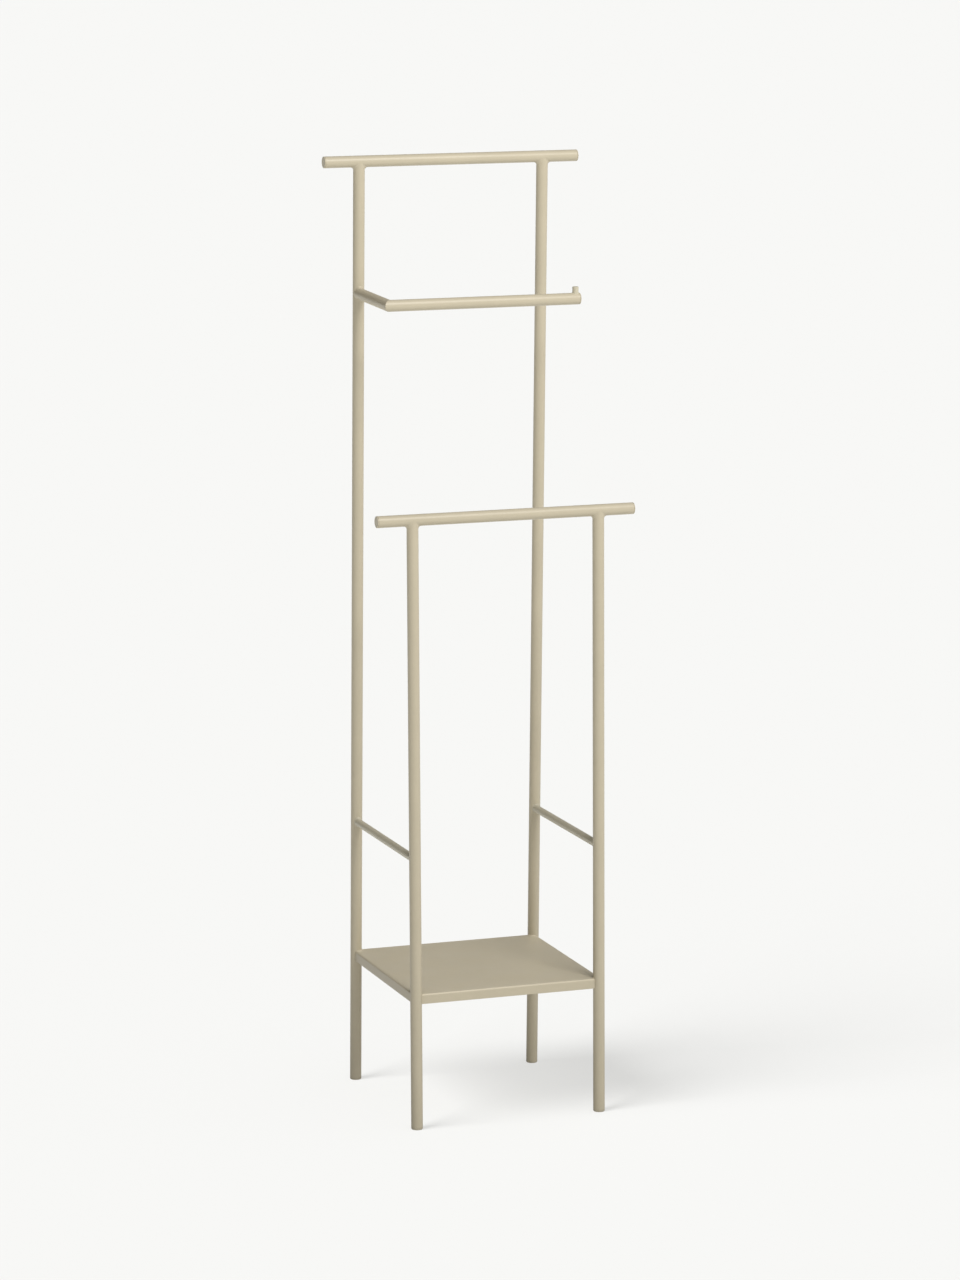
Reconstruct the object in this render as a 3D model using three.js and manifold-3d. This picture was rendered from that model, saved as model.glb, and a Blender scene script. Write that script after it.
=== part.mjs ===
// A free-standing valet stand of powder-coated steel tube: a tall rear frame that carries the coat
// rail and an L-shaped trouser arm, a lower front frame with a second rail, two side rods and a
// folded sheet-steel shelf. Millimetres, +Z up, +X to the right of someone facing the front.
// The origin is on the floor, midway between the four feet, and the front faces -Y.
// Both frames are upright ladders that lean towards each other, so each is built square in a group of
// its own, whose origin is on the floor and whose Z runs up along the tubes.
import * as THREE from "three";
import { mergeVertices } from "three/addons/utils/BufferGeometryUtils.js";
import Module from "manifold-3d";

const wasm = await Module();
wasm.setup();

// Driving dimensions.
const OVERALL_HEIGHT = 1230;
const FRONT_HEIGHT = 796; // floor to the top of the front rail
const FOOT_SPACING = 250; // between the upright centre lines, side to side
const FOOT_DEPTH = 253; // between the upright centre lines at the floor, front to back
const RAIL_LENGTH = 346;
const REAR_LEAN = THREE.MathUtils.degToRad(1.5);
const FRONT_LEAN = THREE.MathUtils.degToRad(-0.9);
const TUBE_RADIUS = 7.5;
const TUBE_WALL = 1.5;
const ARM_HEIGHT = 1053; // up the rear upright, to the arm's centre line
const ARM_REACH = 124; // forward from the upright's centre line to the bar's
const PEG_RADIUS = 4;
const PEG_INSET = 6; // from the bar's free end to the peg's centre
const PEG_RISE = 8; // above the top of the bar
const ROD_RADIUS = 5;
const ROD_HEIGHT = 353;
const SHELF_TOP = 177.5;
const SHELF_PROUD = 3.5; // of the flange faces, outside the upright centre lines
const SHELF_FLANGE = 13;
const SHEET = 1.5;
const SHEET_BEND = 2.5; // outside radius of the folds

// Derived sizes.
const GAP = 0.3; // left between pieces that touch, where the weld or the press fit would be
const HALF_SPACING = FOOT_SPACING / 2;
const BORE_RADIUS = TUBE_RADIUS - TUBE_WALL;
const COPE_RADIUS = TUBE_RADIUS + GAP;
const REAR_RAIL_UP = (OVERALL_HEIGHT - TUBE_RADIUS) / Math.cos(REAR_LEAN);
const FRONT_RAIL_UP = (FRONT_HEIGHT - TUBE_RADIUS) / Math.cos(FRONT_LEAN);
const ARM_LENGTH = FOOT_SPACING + TUBE_RADIUS; // so the bar's free end is flush with the uprights

// Press-in plugs and glides.
const PLUG_FLANGE = 1.5;
const PLUG_STEM = 12;
const PLUG_RADIUS = BORE_RADIUS - GAP;
const GLIDE_FLANGE = 2.5;
const GLIDE_FACE_RADIUS = 6.7;
const GLIDE_EDGE = 0.8;
const GLIDE_CORE_RADIUS = PLUG_RADIUS - 0.6;
const GLIDE_RIB_PITCH = 4;
const GLIDE_RIBS = 3;

const TUBE_SIDES = 32;
const ROD_SIDES = 24;
const BEND_STEPS = 5;
const QUARTER = Math.PI / 2;

const PAINT = { color: 0xc6bea6, roughness: 0.55, metalness: 0.0 };
const NYLON = { color: 0xbdb59d, roughness: 0.7, metalness: 0.0 };

/** A closed geometry as a solid that can be cut. */
function solidOf(geometry) {
  const bare = geometry.clone();
  bare.deleteAttribute("normal");
  bare.deleteAttribute("uv");
  const merged = mergeVertices(bare, 1e-4);
  return new wasm.Manifold(
    new wasm.Mesh({
      numProp: 3,
      vertProperties: new Float32Array(merged.attributes.position.array),
      triVerts: new Uint32Array(merged.index.array),
    }),
  );
}

/** A solid as a geometry that a mesh can show. */
function geometryOf(solid) {
  const mesh = solid.getMesh();
  const indexed = new THREE.BufferGeometry();
  indexed.setAttribute("position", new THREE.BufferAttribute(mesh.vertProperties, 3));
  indexed.setIndex(new THREE.BufferAttribute(mesh.triVerts, 1));
  const flat = indexed.toNonIndexed();
  flat.computeVertexNormals();
  return flat;
}

/** The first geometry with all the others cut out of it. */
function cut(geometry, ...cutters) {
  const left = cutters.reduce((rest, cutter) => rest.subtract(solidOf(cutter)), solidOf(geometry));
  return geometryOf(left);
}

/** A lathe turned about Z, from a profile of [radius, height] pairs. */
function turned(profile, sides) {
  const points = profile.map(([radius, height]) => new THREE.Vector2(radius, height));
  return new THREE.LatheGeometry(points, sides).rotateX(QUARTER);
}

/** A hollow tube along Z, open at both ends. */
function tube(bottom, top) {
  return turned(
    [
      [BORE_RADIUS, bottom],
      [TUBE_RADIUS, bottom],
      [TUBE_RADIUS, top],
      [BORE_RADIUS, top],
      [BORE_RADIUS, bottom],
    ],
    TUBE_SIDES,
  );
}

/** A solid round bar along Z. */
function bar(radius, bottom, top, sides) {
  return turned([[0, bottom], [radius, bottom], [radius, top], [0, top]], sides);
}

/** The bar that cuts a saddle to seat on a tube along X, centred on the origin. */
function copeAcross() {
  const half = 3 * TUBE_RADIUS;
  return bar(COPE_RADIUS, -half, half, TUBE_SIDES).rotateY(QUARTER);
}

/** A mesh with its own material, named for its piece. */
function piece(name, geometry, look) {
  const mesh = new THREE.Mesh(geometry, new THREE.MeshStandardMaterial(look));
  mesh.name = name;
  return mesh;
}

/** An upright along Z, coped at its top to the rail it carries. */
function upright(name, x, railUp) {
  const saddle = copeAcross().translate(0, 0, railUp);
  const mesh = piece(name, cut(tube(GLIDE_FLANGE + GAP, railUp), saddle), PAINT);
  mesh.position.x = x;
  return mesh;
}

/** A rail tube along X, short of the overall length by the flanges of its two end plugs. */
function rail(name, railUp) {
  const half = RAIL_LENGTH / 2 - PLUG_FLANGE - GAP;
  const mesh = piece(name, tube(-half, half), PAINT);
  mesh.rotation.y = QUARTER;
  mesh.position.z = railUp;
  return mesh;
}

/** A press-in steel plug whose flange closes a tube's end at x, facing along side (+1 or -1). */
function endPlug(name, x, side) {
  const chamfer = 0.3;
  const profile = [
    [0, 0],
    [TUBE_RADIUS - chamfer, 0],
    [TUBE_RADIUS, -chamfer],
    [TUBE_RADIUS, -PLUG_FLANGE],
    [PLUG_RADIUS, -PLUG_FLANGE],
    [PLUG_RADIUS, -PLUG_FLANGE - PLUG_STEM + 1],
    [PLUG_RADIUS - 1, -PLUG_FLANGE - PLUG_STEM],
    [0, -PLUG_FLANGE - PLUG_STEM],
  ];
  const mesh = piece(name, turned(profile.reverse(), TUBE_SIDES), PAINT);
  mesh.rotation.y = side * QUARTER;
  mesh.position.x = x;
  return mesh;
}

/** A nylon glide: a ribbed stem up the bore, and a flange whose underside is level with the floor. */
function glide(name, x, lean) {
  const profile = [
    [0, -1],
    [GLIDE_FACE_RADIUS, -1],
    [GLIDE_FACE_RADIUS, 0],
    [TUBE_RADIUS, GLIDE_EDGE],
    [TUBE_RADIUS, GLIDE_FLANGE],
  ];
  for (let rib = 0; rib < GLIDE_RIBS; rib += 1) {
    const up = GLIDE_FLANGE + rib * GLIDE_RIB_PITCH;
    profile.push([GLIDE_CORE_RADIUS, up]);
    profile.push([GLIDE_CORE_RADIUS, up + GLIDE_RIB_PITCH / 2]);
    profile.push([PLUG_RADIUS, up + GLIDE_RIB_PITCH / 2]);
  }
  const top = GLIDE_FLANGE + GLIDE_RIBS * GLIDE_RIB_PITCH;
  profile.push([GLIDE_CORE_RADIUS, top], [0, top]);
  const below = new THREE.BoxGeometry(40, 40, 20).translate(0, 0, -10).rotateX(-lean);
  const mesh = piece(name, cut(turned(profile, TUBE_SIDES), below), NYLON);
  mesh.position.x = x;
  return mesh;
}

/** The wedge beyond the 45 degree mitre plane at the arm's corner, on the return's side or the bar's. */
function mitreCutter(onReturn) {
  const size = 80;
  const clear = GAP / 2;
  const block = new THREE.BoxGeometry(size, size, size).translate(0, -size / 2 + clear, 0);
  return block.rotateZ(onReturn ? Math.PI / 4 : (-3 * Math.PI) / 4);
}

/** The arm's return, forward from the left upright to the mitred corner, which is its origin. */
function armReturn() {
  const length = ARM_REACH + TUBE_RADIUS;
  const straight = tube(-TUBE_RADIUS, length).rotateX(-QUARTER);
  const aroundUpright = bar(COPE_RADIUS, -3 * TUBE_RADIUS, 3 * TUBE_RADIUS, TUBE_SIDES);
  const behindUpright = new THREE.BoxGeometry(40, 40, 40).translate(0, ARM_REACH + 20, 0);
  return piece(
    "arm_return",
    cut(straight, aroundUpright.translate(0, ARM_REACH, 0), behindUpright, mitreCutter(true)),
    PAINT,
  );
}

/** The arm's long bar, from the mitred corner, which is its origin, to the end plug. */
function armBar() {
  const length = ARM_LENGTH - PLUG_FLANGE - GAP;
  const straight = tube(-TUBE_RADIUS, length).rotateY(QUARTER);
  return piece("arm_bar", cut(straight, mitreCutter(false)), PAINT);
}

/** The stop peg that keeps trousers on the bar, coped to the bar's top. */
function stopPeg() {
  const top = TUBE_RADIUS + PEG_RISE;
  const edge = 0.5;
  const profile = [
    [0, 0],
    [PEG_RADIUS, 0],
    [PEG_RADIUS, top - edge],
    [PEG_RADIUS - edge, top],
    [0, top],
  ];
  return piece("arm_stop_peg", cut(turned(profile, ROD_SIDES), copeAcross()), PAINT);
}

/** The arm, in a group whose origin is the mitred corner. */
function arm() {
  const group = new THREE.Group();
  const peg = stopPeg();
  peg.position.x = ARM_LENGTH - PEG_INSET;
  group.add(armReturn(), armBar(), peg, endPlug("arm_bar_plug", ARM_LENGTH, 1));
  group.position.set(-HALF_SPACING, -ARM_REACH, ARM_HEIGHT);
  return group;
}

/** One ladder frame: two uprights, a rail with its plugs, and a glide in each foot. */
function ladder(label, railLabel, y, lean, railUp) {
  const frame = new THREE.Group();
  for (const [side, x] of [["left", -HALF_SPACING], ["right", HALF_SPACING]]) {
    frame.add(upright(`${label}_${side}_upright`, x, railUp));
    frame.add(glide(`${label}_${side}_glide`, x, lean));
    const plug = endPlug(`${railLabel}_${side}_plug`, Math.sign(x) * (RAIL_LENGTH / 2), Math.sign(x));
    plug.position.z = railUp;
    frame.add(plug);
  }
  frame.add(rail(railLabel, railUp));
  frame.position.y = y;
  frame.rotation.x = lean;
  frame.updateMatrixWorld(true);
  return frame;
}

/** The bar that clears one leaning upright, in the stand's own frame. */
function clearanceOf(frame, x) {
  return bar(COPE_RADIUS, -10, FRONT_HEIGHT, TUBE_SIDES).translate(x, 0, 0).applyMatrix4(frame.matrixWorld);
}

/** Where a frame's upright centre lines are, front to back, at a height above the floor. */
function depthAt(frame, height) {
  return frame.position.y - height * Math.tan(frame.rotation.x);
}

/** A side rod along Y between the front and rear uprights, coped to both. */
function sideRod(name, x, rear, front) {
  const back = depthAt(rear, ROD_HEIGHT);
  const fore = depthAt(front, ROD_HEIGHT);
  const straight = bar(ROD_RADIUS, -back, -fore, ROD_SIDES).rotateX(QUARTER).translate(x, 0, ROD_HEIGHT);
  return piece(name, cut(straight, clearanceOf(rear, x), clearanceOf(front, x)), PAINT);
}

/** A slab from z = -height to 0 whose two long upper edges are rounded, extruded along Y. */
function roundedSlab(width, height, radius, length) {
  const half = width / 2;
  const outline = new THREE.Shape();
  outline.moveTo(-half, -height);
  outline.lineTo(half, -height);
  outline.absarc(half - radius, -radius, radius, 0, QUARTER, false);
  outline.absarc(-half + radius, -radius, radius, QUARTER, Math.PI, false);
  outline.closePath();
  const settings = { depth: length, bevelEnabled: false, curveSegments: BEND_STEPS };
  return new THREE.ExtrudeGeometry(outline, settings).translate(0, 0, -length / 2).rotateX(QUARTER);
}

/** A lid-shaped block, its four upper edges rounded, with its top face at z = 0. */
function lidBlock(width, depth, height, radius) {
  const lengthways = solidOf(roundedSlab(width, height, radius, depth));
  const crossways = solidOf(roundedSlab(depth, height, radius, width).rotateZ(QUARTER));
  return geometryOf(lengthways.intersect(crossways));
}

/** The shelf: a flat sheet with its four edges folded down, notched round the uprights. */
function shelfTray(rear, front) {
  const back = depthAt(rear, SHELF_TOP) + SHELF_PROUD;
  const fore = depthAt(front, SHELF_TOP) - SHELF_PROUD;
  const width = FOOT_SPACING + 2 * SHELF_PROUD;
  const depth = back - fore;
  const outside = lidBlock(width, depth, SHELF_FLANGE, SHEET_BEND);
  const inside = lidBlock(width - 2 * SHEET, depth - 2 * SHEET, SHELF_FLANGE, SHEET_BEND - SHEET);
  const folded = cut(outside, inside.translate(0, 0, -SHEET));
  const notches = [rear, front].flatMap((frame) => [
    clearanceOf(frame, -HALF_SPACING),
    clearanceOf(frame, HALF_SPACING),
  ]);
  return piece("shelf_tray", cut(folded.translate(0, (back + fore) / 2, SHELF_TOP), ...notches), PAINT);
}

const rearFrame = ladder("rear", "top_rail", FOOT_DEPTH / 2, REAR_LEAN, REAR_RAIL_UP);
rearFrame.add(arm());
const frontFrame = ladder("front", "front_rail", -FOOT_DEPTH / 2, FRONT_LEAN, FRONT_RAIL_UP);

const stand = new THREE.Group();
stand.add(rearFrame, frontFrame);
stand.add(sideRod("left_side_rod", -HALF_SPACING, rearFrame, frontFrame));
stand.add(sideRod("right_side_rod", HALF_SPACING, rearFrame, frontFrame));
stand.add(shelfTray(rearFrame, frontFrame));

export default stand;
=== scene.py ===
"""The looks of a valet stand of powder-coated steel tube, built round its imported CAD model.

Metres, +Z up, in the CAD model's own frame: the front faces -Y and the floor is at z = 0. Every
tube, rod, plug, glide and sheet stands for one CAD node. Places come from the nodes' boxes, except
the uprights' spacing, which is stated here.
"""

import logging
import math
from dataclasses import dataclass
from enum import Enum
from typing import Protocol

import bmesh
import bpy
from bmesh.types import BMEdge, BMesh, BMVert
from bpy.types import Collection, Light, Material, Node, NodeSocket, NodeTree, Object
from mathutils import Matrix, Vector


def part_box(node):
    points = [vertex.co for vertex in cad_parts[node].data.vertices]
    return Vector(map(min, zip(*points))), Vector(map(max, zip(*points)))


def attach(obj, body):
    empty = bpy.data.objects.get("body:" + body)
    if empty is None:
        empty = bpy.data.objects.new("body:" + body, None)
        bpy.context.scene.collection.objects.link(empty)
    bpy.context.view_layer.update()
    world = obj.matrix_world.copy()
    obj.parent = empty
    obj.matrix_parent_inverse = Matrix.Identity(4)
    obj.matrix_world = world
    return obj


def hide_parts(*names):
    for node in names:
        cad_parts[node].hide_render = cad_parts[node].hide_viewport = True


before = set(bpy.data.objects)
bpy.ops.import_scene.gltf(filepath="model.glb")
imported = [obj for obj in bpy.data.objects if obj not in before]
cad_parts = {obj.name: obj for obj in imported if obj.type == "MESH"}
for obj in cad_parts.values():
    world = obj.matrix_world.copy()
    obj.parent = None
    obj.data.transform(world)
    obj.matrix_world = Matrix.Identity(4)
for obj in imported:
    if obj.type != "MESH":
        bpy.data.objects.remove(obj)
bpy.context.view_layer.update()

LOG = logging.getLogger("valet_stand")
MM = 0.001
UP = Vector((0.0, 0.0, 1.0))
RIGHTWARDS = Vector((1.0, 0.0, 0.0))
QUARTER_TURN = math.pi / 2
FULL_TURN = 2 * math.pi
SHARP_ANGLE = math.radians(38)
FOOT_Y = 126.5 * MM  # of the feet, before and behind the middle

WHITE = (1.0, 1.0, 1.0, 1.0)

Colour = tuple[float, float, float]
Places = list[Vector]


class Slot(Enum):
    """The material slots of the record."""

    TUBE = "powder_coated_tube"
    ROD = "powder_coated_rod"
    SHEET = "powder_coated_sheet"
    PLUG = "powder_coated_plug"
    GLIDE = "nylon_glide"


class Side(Enum):
    """The two sides of the stand, as someone facing its front sees them."""

    LEFT = -1
    RIGHT = 1

    @property
    def word(self) -> str:
        """The side's name as it stands in the names of pieces."""
        return self.name.lower()


# ---------------------------------------------------------------------------------------------
# Node groups and finishes
# ---------------------------------------------------------------------------------------------


class Wiring:
    """A node tree that is being wired."""

    def __init__(self, tree: NodeTree) -> None:
        """Starts on an empty tree.

        Args:
            tree: the tree that takes the nodes.
        """
        self.tree = tree

    def add(self, kind: str, settings: dict | None = None, inputs: dict | None = None) -> Node:
        """Adds one node.

        Args:
            kind: the node's type, such as ShaderNodeMath.
            settings: values of the node's own properties, by name.
            inputs: values or output sockets for its inputs, by name or number.

        Returns:
            The new node.
        """
        node = self.tree.nodes.new(kind)
        for name, value in (settings or {}).items():
            setattr(node, name, value)
        for key, value in (inputs or {}).items():
            if isinstance(value, NodeSocket):
                self.tree.links.new(value, node.inputs[key])
            else:
                node.inputs[key].default_value = value
        return node

    def math(self, operation: str, *values: object) -> NodeSocket:
        """One sum on one, two or three values, as its output socket."""
        node = self.add("ShaderNodeMath", {"operation": operation}, dict(enumerate(values)))
        return node.outputs[0]

    def ramp(self, value: object, low: float, high: float, to_low: float, to_high: float) -> NodeSocket:
        """A value carried smoothly from one range to another.

        Args:
            value: the value, or the socket that gives it.
            low: where the range starts.
            high: where the range ends.
            to_low: what the start becomes.
            to_high: what the end becomes.

        Returns:
            The socket with the carried value.
        """
        node = self.add(
            "ShaderNodeMapRange",
            {"interpolation_type": "SMOOTHSTEP"},
            {0: value, 1: low, 2: high, 3: to_low, 4: to_high},
        )
        return node.outputs[0]

    def noise(self, position: object, size: object, detail: float = 2.0) -> NodeSocket:
        """Soft noise whose lumps are about one size.

        Args:
            position: the socket with the position in metres.
            size: the lumps' size in metres, or the socket that gives it.
            detail: how many finer layers it has.

        Returns:
            The socket with the noise, around 0.5.
        """
        scale = self.math("DIVIDE", 1.0, size)
        node = self.add(
            "ShaderNodeTexNoise",
            {"noise_dimensions": "3D"},
            {"Vector": position, "Scale": scale, "Detail": detail, "Roughness": 0.5},
        )
        return node.outputs[0]

    def blend(self, share: object, first: object, second: object) -> NodeSocket:
        """Two colours mixed.

        Args:
            share: how much of the second there is, from 0 to 1.
            first: the first colour.
            second: the second colour.

        Returns:
            The socket with the mixed colour.
        """
        node = self.add("ShaderNodeMix", {"data_type": "RGBA"}, {0: share, 6: first, 7: second})
        return node.outputs[2]

    def facing_up(self, low: float, high: float) -> NodeSocket:
        """How far the surface faces up.

        Args:
            low: the normal's height where the share starts.
            high: the normal's height where it is whole.

        Returns:
            The socket with the share, from 0 to 1.
        """
        normal = self.add("ShaderNodeNewGeometry").outputs["Normal"]
        facing = self.add("ShaderNodeSeparateXYZ", None, {0: normal}).outputs["Z"]
        return self.ramp(facing, low, high, 0.0, 1.0)

    def product(self, first: object, *others: object) -> NodeSocket:
        """Several masks multiplied together, as one output socket.

        Args:
            first: the first mask.
            others: the rest.

        Returns:
            The socket with their product.
        """
        for other in others:
            first = self.math("MULTIPLY", first, other)
        return first


class EffectGroup:
    """A shader node group with named sockets, built once and placed in many materials."""

    title: str
    inputs: dict[str, str]
    outputs: dict[str, str]

    def __init__(self) -> None:
        """Makes the group and its sockets, whose kinds stand by name in inputs and outputs."""
        self.tree = bpy.data.node_groups.new(self.title, "ShaderNodeTree")
        for way, sockets in (("INPUT", self.inputs), ("OUTPUT", self.outputs)):
            for label, kind in sockets.items():
                self.tree.interface.new_socket(name=label, in_out=way, socket_type=kind)
        self.wiring = Wiring(self.tree)
        self.given = self.wiring.add("NodeGroupInput").outputs
        self.put_out = self.wiring.add("NodeGroupOutput")
        self.build()

    def build(self) -> None:
        """Wires the inside of the group."""
        raise NotImplementedError

    def send(self, name: str, socket: NodeSocket) -> None:
        """Wires a socket to one of the group's outputs."""
        self.tree.links.new(socket, self.put_out.inputs[name])

    def place(self, wiring: Wiring, inputs: dict) -> Node:
        """Puts the group into a material, with that material's own values."""
        return wiring.add("ShaderNodeGroup", {"node_tree": self.tree}, inputs)


FLOAT = "NodeSocketFloat"
VECTOR = "NodeSocketVector"
COLOUR = "NodeSocketColor"


class CoatGrain(EffectGroup):
    """The skin of a cured coat: the long soft waves of orange peel with a fine grain on them."""

    title = "Coat grain"
    inputs = {"Position": VECTOR, "Peel Size": FLOAT, "Grain Size": FLOAT, "Grain Share": FLOAT}
    outputs = {"Height": FLOAT, "Grain": FLOAT}

    def build(self) -> None:
        """Wires two layers of noise."""
        wiring, given = self.wiring, self.given
        peel = wiring.noise(given["Position"], given["Peel Size"], 1.0)
        grain = wiring.noise(given["Position"], given["Grain Size"], 2.0)
        both = wiring.add(
            "ShaderNodeMix",
            {"data_type": "FLOAT"},
            {0: given["Grain Share"], 2: peel, 3: grain},
        )
        self.send("Height", both.outputs[0])
        self.send("Grain", grain)


class FilmTone(EffectGroup):
    """The slight change of tone that comes from the coat being thicker here and thinner there."""

    title = "Film tone"
    inputs = {"Position": VECTOR, "Thick Colour": COLOUR, "Thin Colour": COLOUR, "Patch Size": FLOAT}
    outputs = {"Colour": COLOUR}
    fine_size = 0.12  # of a broad patch
    fine_share = 0.3
    broad_share = 0.7

    def build(self) -> None:
        """Wires broad patches and a finer mottle into one share of the thin colour."""
        wiring, given = self.wiring, self.given
        broad = wiring.noise(given["Position"], given["Patch Size"], 2.0)
        fine_size = wiring.math("MULTIPLY", given["Patch Size"], self.fine_size)
        fine = wiring.noise(given["Position"], fine_size, 3.0)
        both = wiring.math(
            "ADD",
            wiring.math("MULTIPLY", broad, self.broad_share),
            wiring.math("MULTIPLY", fine, self.fine_share),
        )
        share = wiring.ramp(both, 0.32, 0.68, 0.0, 1.0)
        self.send("Colour", wiring.blend(share, given["Thick Colour"], given["Thin Colour"]))


class EdgeThinning(EffectGroup):
    """Where the coat draws back from an outside edge and is first to be rubbed."""

    title = "Edge thinning"
    inputs = {"Position": VECTOR, "Break Size": FLOAT, "Amount": FLOAT}
    outputs = {"Mask": FLOAT}

    def build(self) -> None:
        """Wires the sharpness of the surface, broken up by noise."""
        wiring, given = self.wiring, self.given
        sharpness = wiring.add("ShaderNodeNewGeometry").outputs["Pointiness"]
        edge = wiring.ramp(sharpness, 0.53, 0.62, 0.0, 1.0)
        noise = wiring.noise(given["Position"], given["Break Size"], 3.0)
        broken = wiring.ramp(noise, 0.35, 0.6, 0.35, 1.0)
        self.send("Mask", wiring.product(edge, broken, given["Amount"]))


class SettledDust(EffectGroup):
    """A thin veil of dust on whatever faces up."""

    title = "Settled dust"
    inputs = {"Position": VECTOR, "Patch Size": FLOAT, "Amount": FLOAT}
    outputs = {"Mask": FLOAT}

    def build(self) -> None:
        """Wires how far the surface faces up, broken up by noise."""
        wiring, given = self.wiring, self.given
        upward = wiring.facing_up(0.55, 1.0)
        noise = wiring.noise(given["Position"], given["Patch Size"], 5.0)
        patches = wiring.ramp(noise, 0.3, 0.7, 0.3, 1.0)
        self.send("Mask", wiring.product(upward, patches, given["Amount"]))


class HangerRub(EffectGroup):
    """The smoother lines along the top of a rail, where hooks and cloth slide across it."""

    title = "Hanger rub"
    inputs = {"Position": VECTOR, "Amount": FLOAT}
    outputs = {"Mask": FLOAT}
    squeeze = (1.0, 0.08, 0.08)  # which draws the noise out into lines across the rail
    line_size = 1.2 * MM
    patch_size = 45 * MM

    def build(self) -> None:
        """Wires thin lines across the rail, on the part of it that faces up."""
        wiring, given = self.wiring, self.given
        upward = wiring.facing_up(0.35, 0.95)
        squeezed = wiring.add(
            "ShaderNodeVectorMath", {"operation": "MULTIPLY"}, {0: given["Position"], 1: self.squeeze}
        )
        lines = wiring.ramp(wiring.noise(squeezed.outputs[0], self.line_size, 3.0), 0.5, 0.72, 0.0, 1.0)
        patches = wiring.ramp(wiring.noise(given["Position"], self.patch_size, 2.0), 0.45, 0.65, 0.1, 1.0)
        self.send("Mask", wiring.product(lines, patches, upward, given["Amount"]))


class Effects:
    """The stand's node groups, each built on its first use."""

    _built: dict[type, EffectGroup] = {}

    @classmethod
    def get(cls, kind: type) -> EffectGroup:
        """The one group of a kind.

        Args:
            kind: the class of the group.

        Returns:
            The group.
        """
        if kind not in cls._built:
            cls._built[kind] = kind()
        return cls._built[kind]


@dataclass(frozen=True)
class Finish:
    """A finish of one slot: colours are linear, sizes in metres and amounts from 0 to 1."""

    name: str
    slot: Slot
    thick: Colour = (0.524, 0.465, 0.338)
    thin: Colour = (0.546, 0.484, 0.353)
    worn: Colour = (0.590, 0.535, 0.415)
    dust_colour: Colour = (0.58, 0.56, 0.51)
    roughness: float = 0.42
    roughness_swing: float = 0.06
    specular: float = 0.5
    peel_size: float = 2.4 * MM
    grain_size: float = 0.35 * MM
    grain_share: float = 0.4
    relief: float = 0.090 * MM
    patch_size: float = 60 * MM
    edge_amount: float = 0.35
    dust_amount: float = 0.10
    rub_amount: float = 0.0
    edge_break: float = 4 * MM
    dust_patch: float = 35 * MM
    dust_dulling: float = 0.3
    rub_dulling: float = -0.14

    def material(self) -> Material:
        """The finish as a material, made on its first use.

        Returns:
            The material, shared by all the pieces with this finish.
        """
        known = bpy.data.materials.get(self.name)
        if known:
            return known
        material = bpy.data.materials.new(self.name)
        material.use_nodes = True
        material.node_tree.nodes.clear()
        wiring = Wiring(material.node_tree)
        position = wiring.add("ShaderNodeTexCoord").outputs["Object"]
        shader = wiring.add(
            "ShaderNodeBsdfPrincipled",
            None,
            {"Metallic": 0.0, "IOR": 1.5, "Specular IOR Level": self.specular},
        )
        grain = Effects.get(CoatGrain).place(
            wiring,
            {
                "Position": position,
                "Peel Size": self.peel_size,
                "Grain Size": self.grain_size,
                "Grain Share": self.grain_share,
            },
        )
        masks = self.masks(wiring, position)
        links = material.node_tree.links
        links.new(self.colour(wiring, position, masks), shader.inputs["Base Color"])
        links.new(self.dullness(wiring, grain.outputs["Grain"], masks), shader.inputs["Roughness"])
        bump = wiring.add(
            "ShaderNodeBump",
            None,
            {"Strength": 1.0, "Distance": self.relief, "Height": grain.outputs["Height"]},
        )
        links.new(bump.outputs[0], shader.inputs["Normal"])
        output = wiring.add("ShaderNodeOutputMaterial")
        links.new(shader.outputs[0], output.inputs[0])
        return material

    def masks(self, wiring: Wiring, position: NodeSocket) -> dict[str, NodeSocket]:
        """Places the groups that say where the finish is worn, dusty or rubbed.

        Args:
            wiring: the material's tree.
            position: the socket with the position.

        Returns:
            The masks' sockets, by name.
        """
        edge = Effects.get(EdgeThinning).place(
            wiring, {"Position": position, "Break Size": self.edge_break, "Amount": self.edge_amount}
        )
        dust = Effects.get(SettledDust).place(
            wiring, {"Position": position, "Patch Size": self.dust_patch, "Amount": self.dust_amount}
        )
        rub = Effects.get(HangerRub).place(wiring, {"Position": position, "Amount": self.rub_amount})
        return {"edge": edge.outputs[0], "dust": dust.outputs[0], "rub": rub.outputs[0]}

    def colour(self, wiring: Wiring, position: NodeSocket, masks: dict) -> NodeSocket:
        """Wires the colour: the film's tone, then thin edges, then dust.

        Args:
            wiring: the material's tree.
            position: the socket with the position.
            masks: the masks' sockets, by name.

        Returns:
            The socket with the colour.
        """
        tone = Effects.get(FilmTone).place(
            wiring,
            {
                "Position": position,
                "Thick Colour": (*self.thick, 1.0),
                "Thin Colour": (*self.thin, 1.0),
                "Patch Size": self.patch_size,
            },
        )
        edged = wiring.blend(masks["edge"], tone.outputs[0], (*self.worn, 1.0))
        return wiring.blend(masks["dust"], edged, (*self.dust_colour, 1.0))

    def dullness(self, wiring: Wiring, grain: NodeSocket, masks: dict) -> NodeSocket:
        """Wires the roughness, which the grain and dust raise and rubbing lowers.

        Args:
            wiring: the material's tree.
            grain: the socket with the fine grain.
            masks: the masks' sockets, by name.

        Returns:
            The socket with the roughness.
        """
        half = self.roughness_swing / 2
        grained = wiring.ramp(grain, 0.3, 0.7, self.roughness - half, self.roughness + half)
        dusty = wiring.math("MULTIPLY_ADD", masks["dust"], self.dust_dulling, grained)
        return wiring.math("MULTIPLY_ADD", masks["rub"], self.rub_dulling, dusty)


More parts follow.
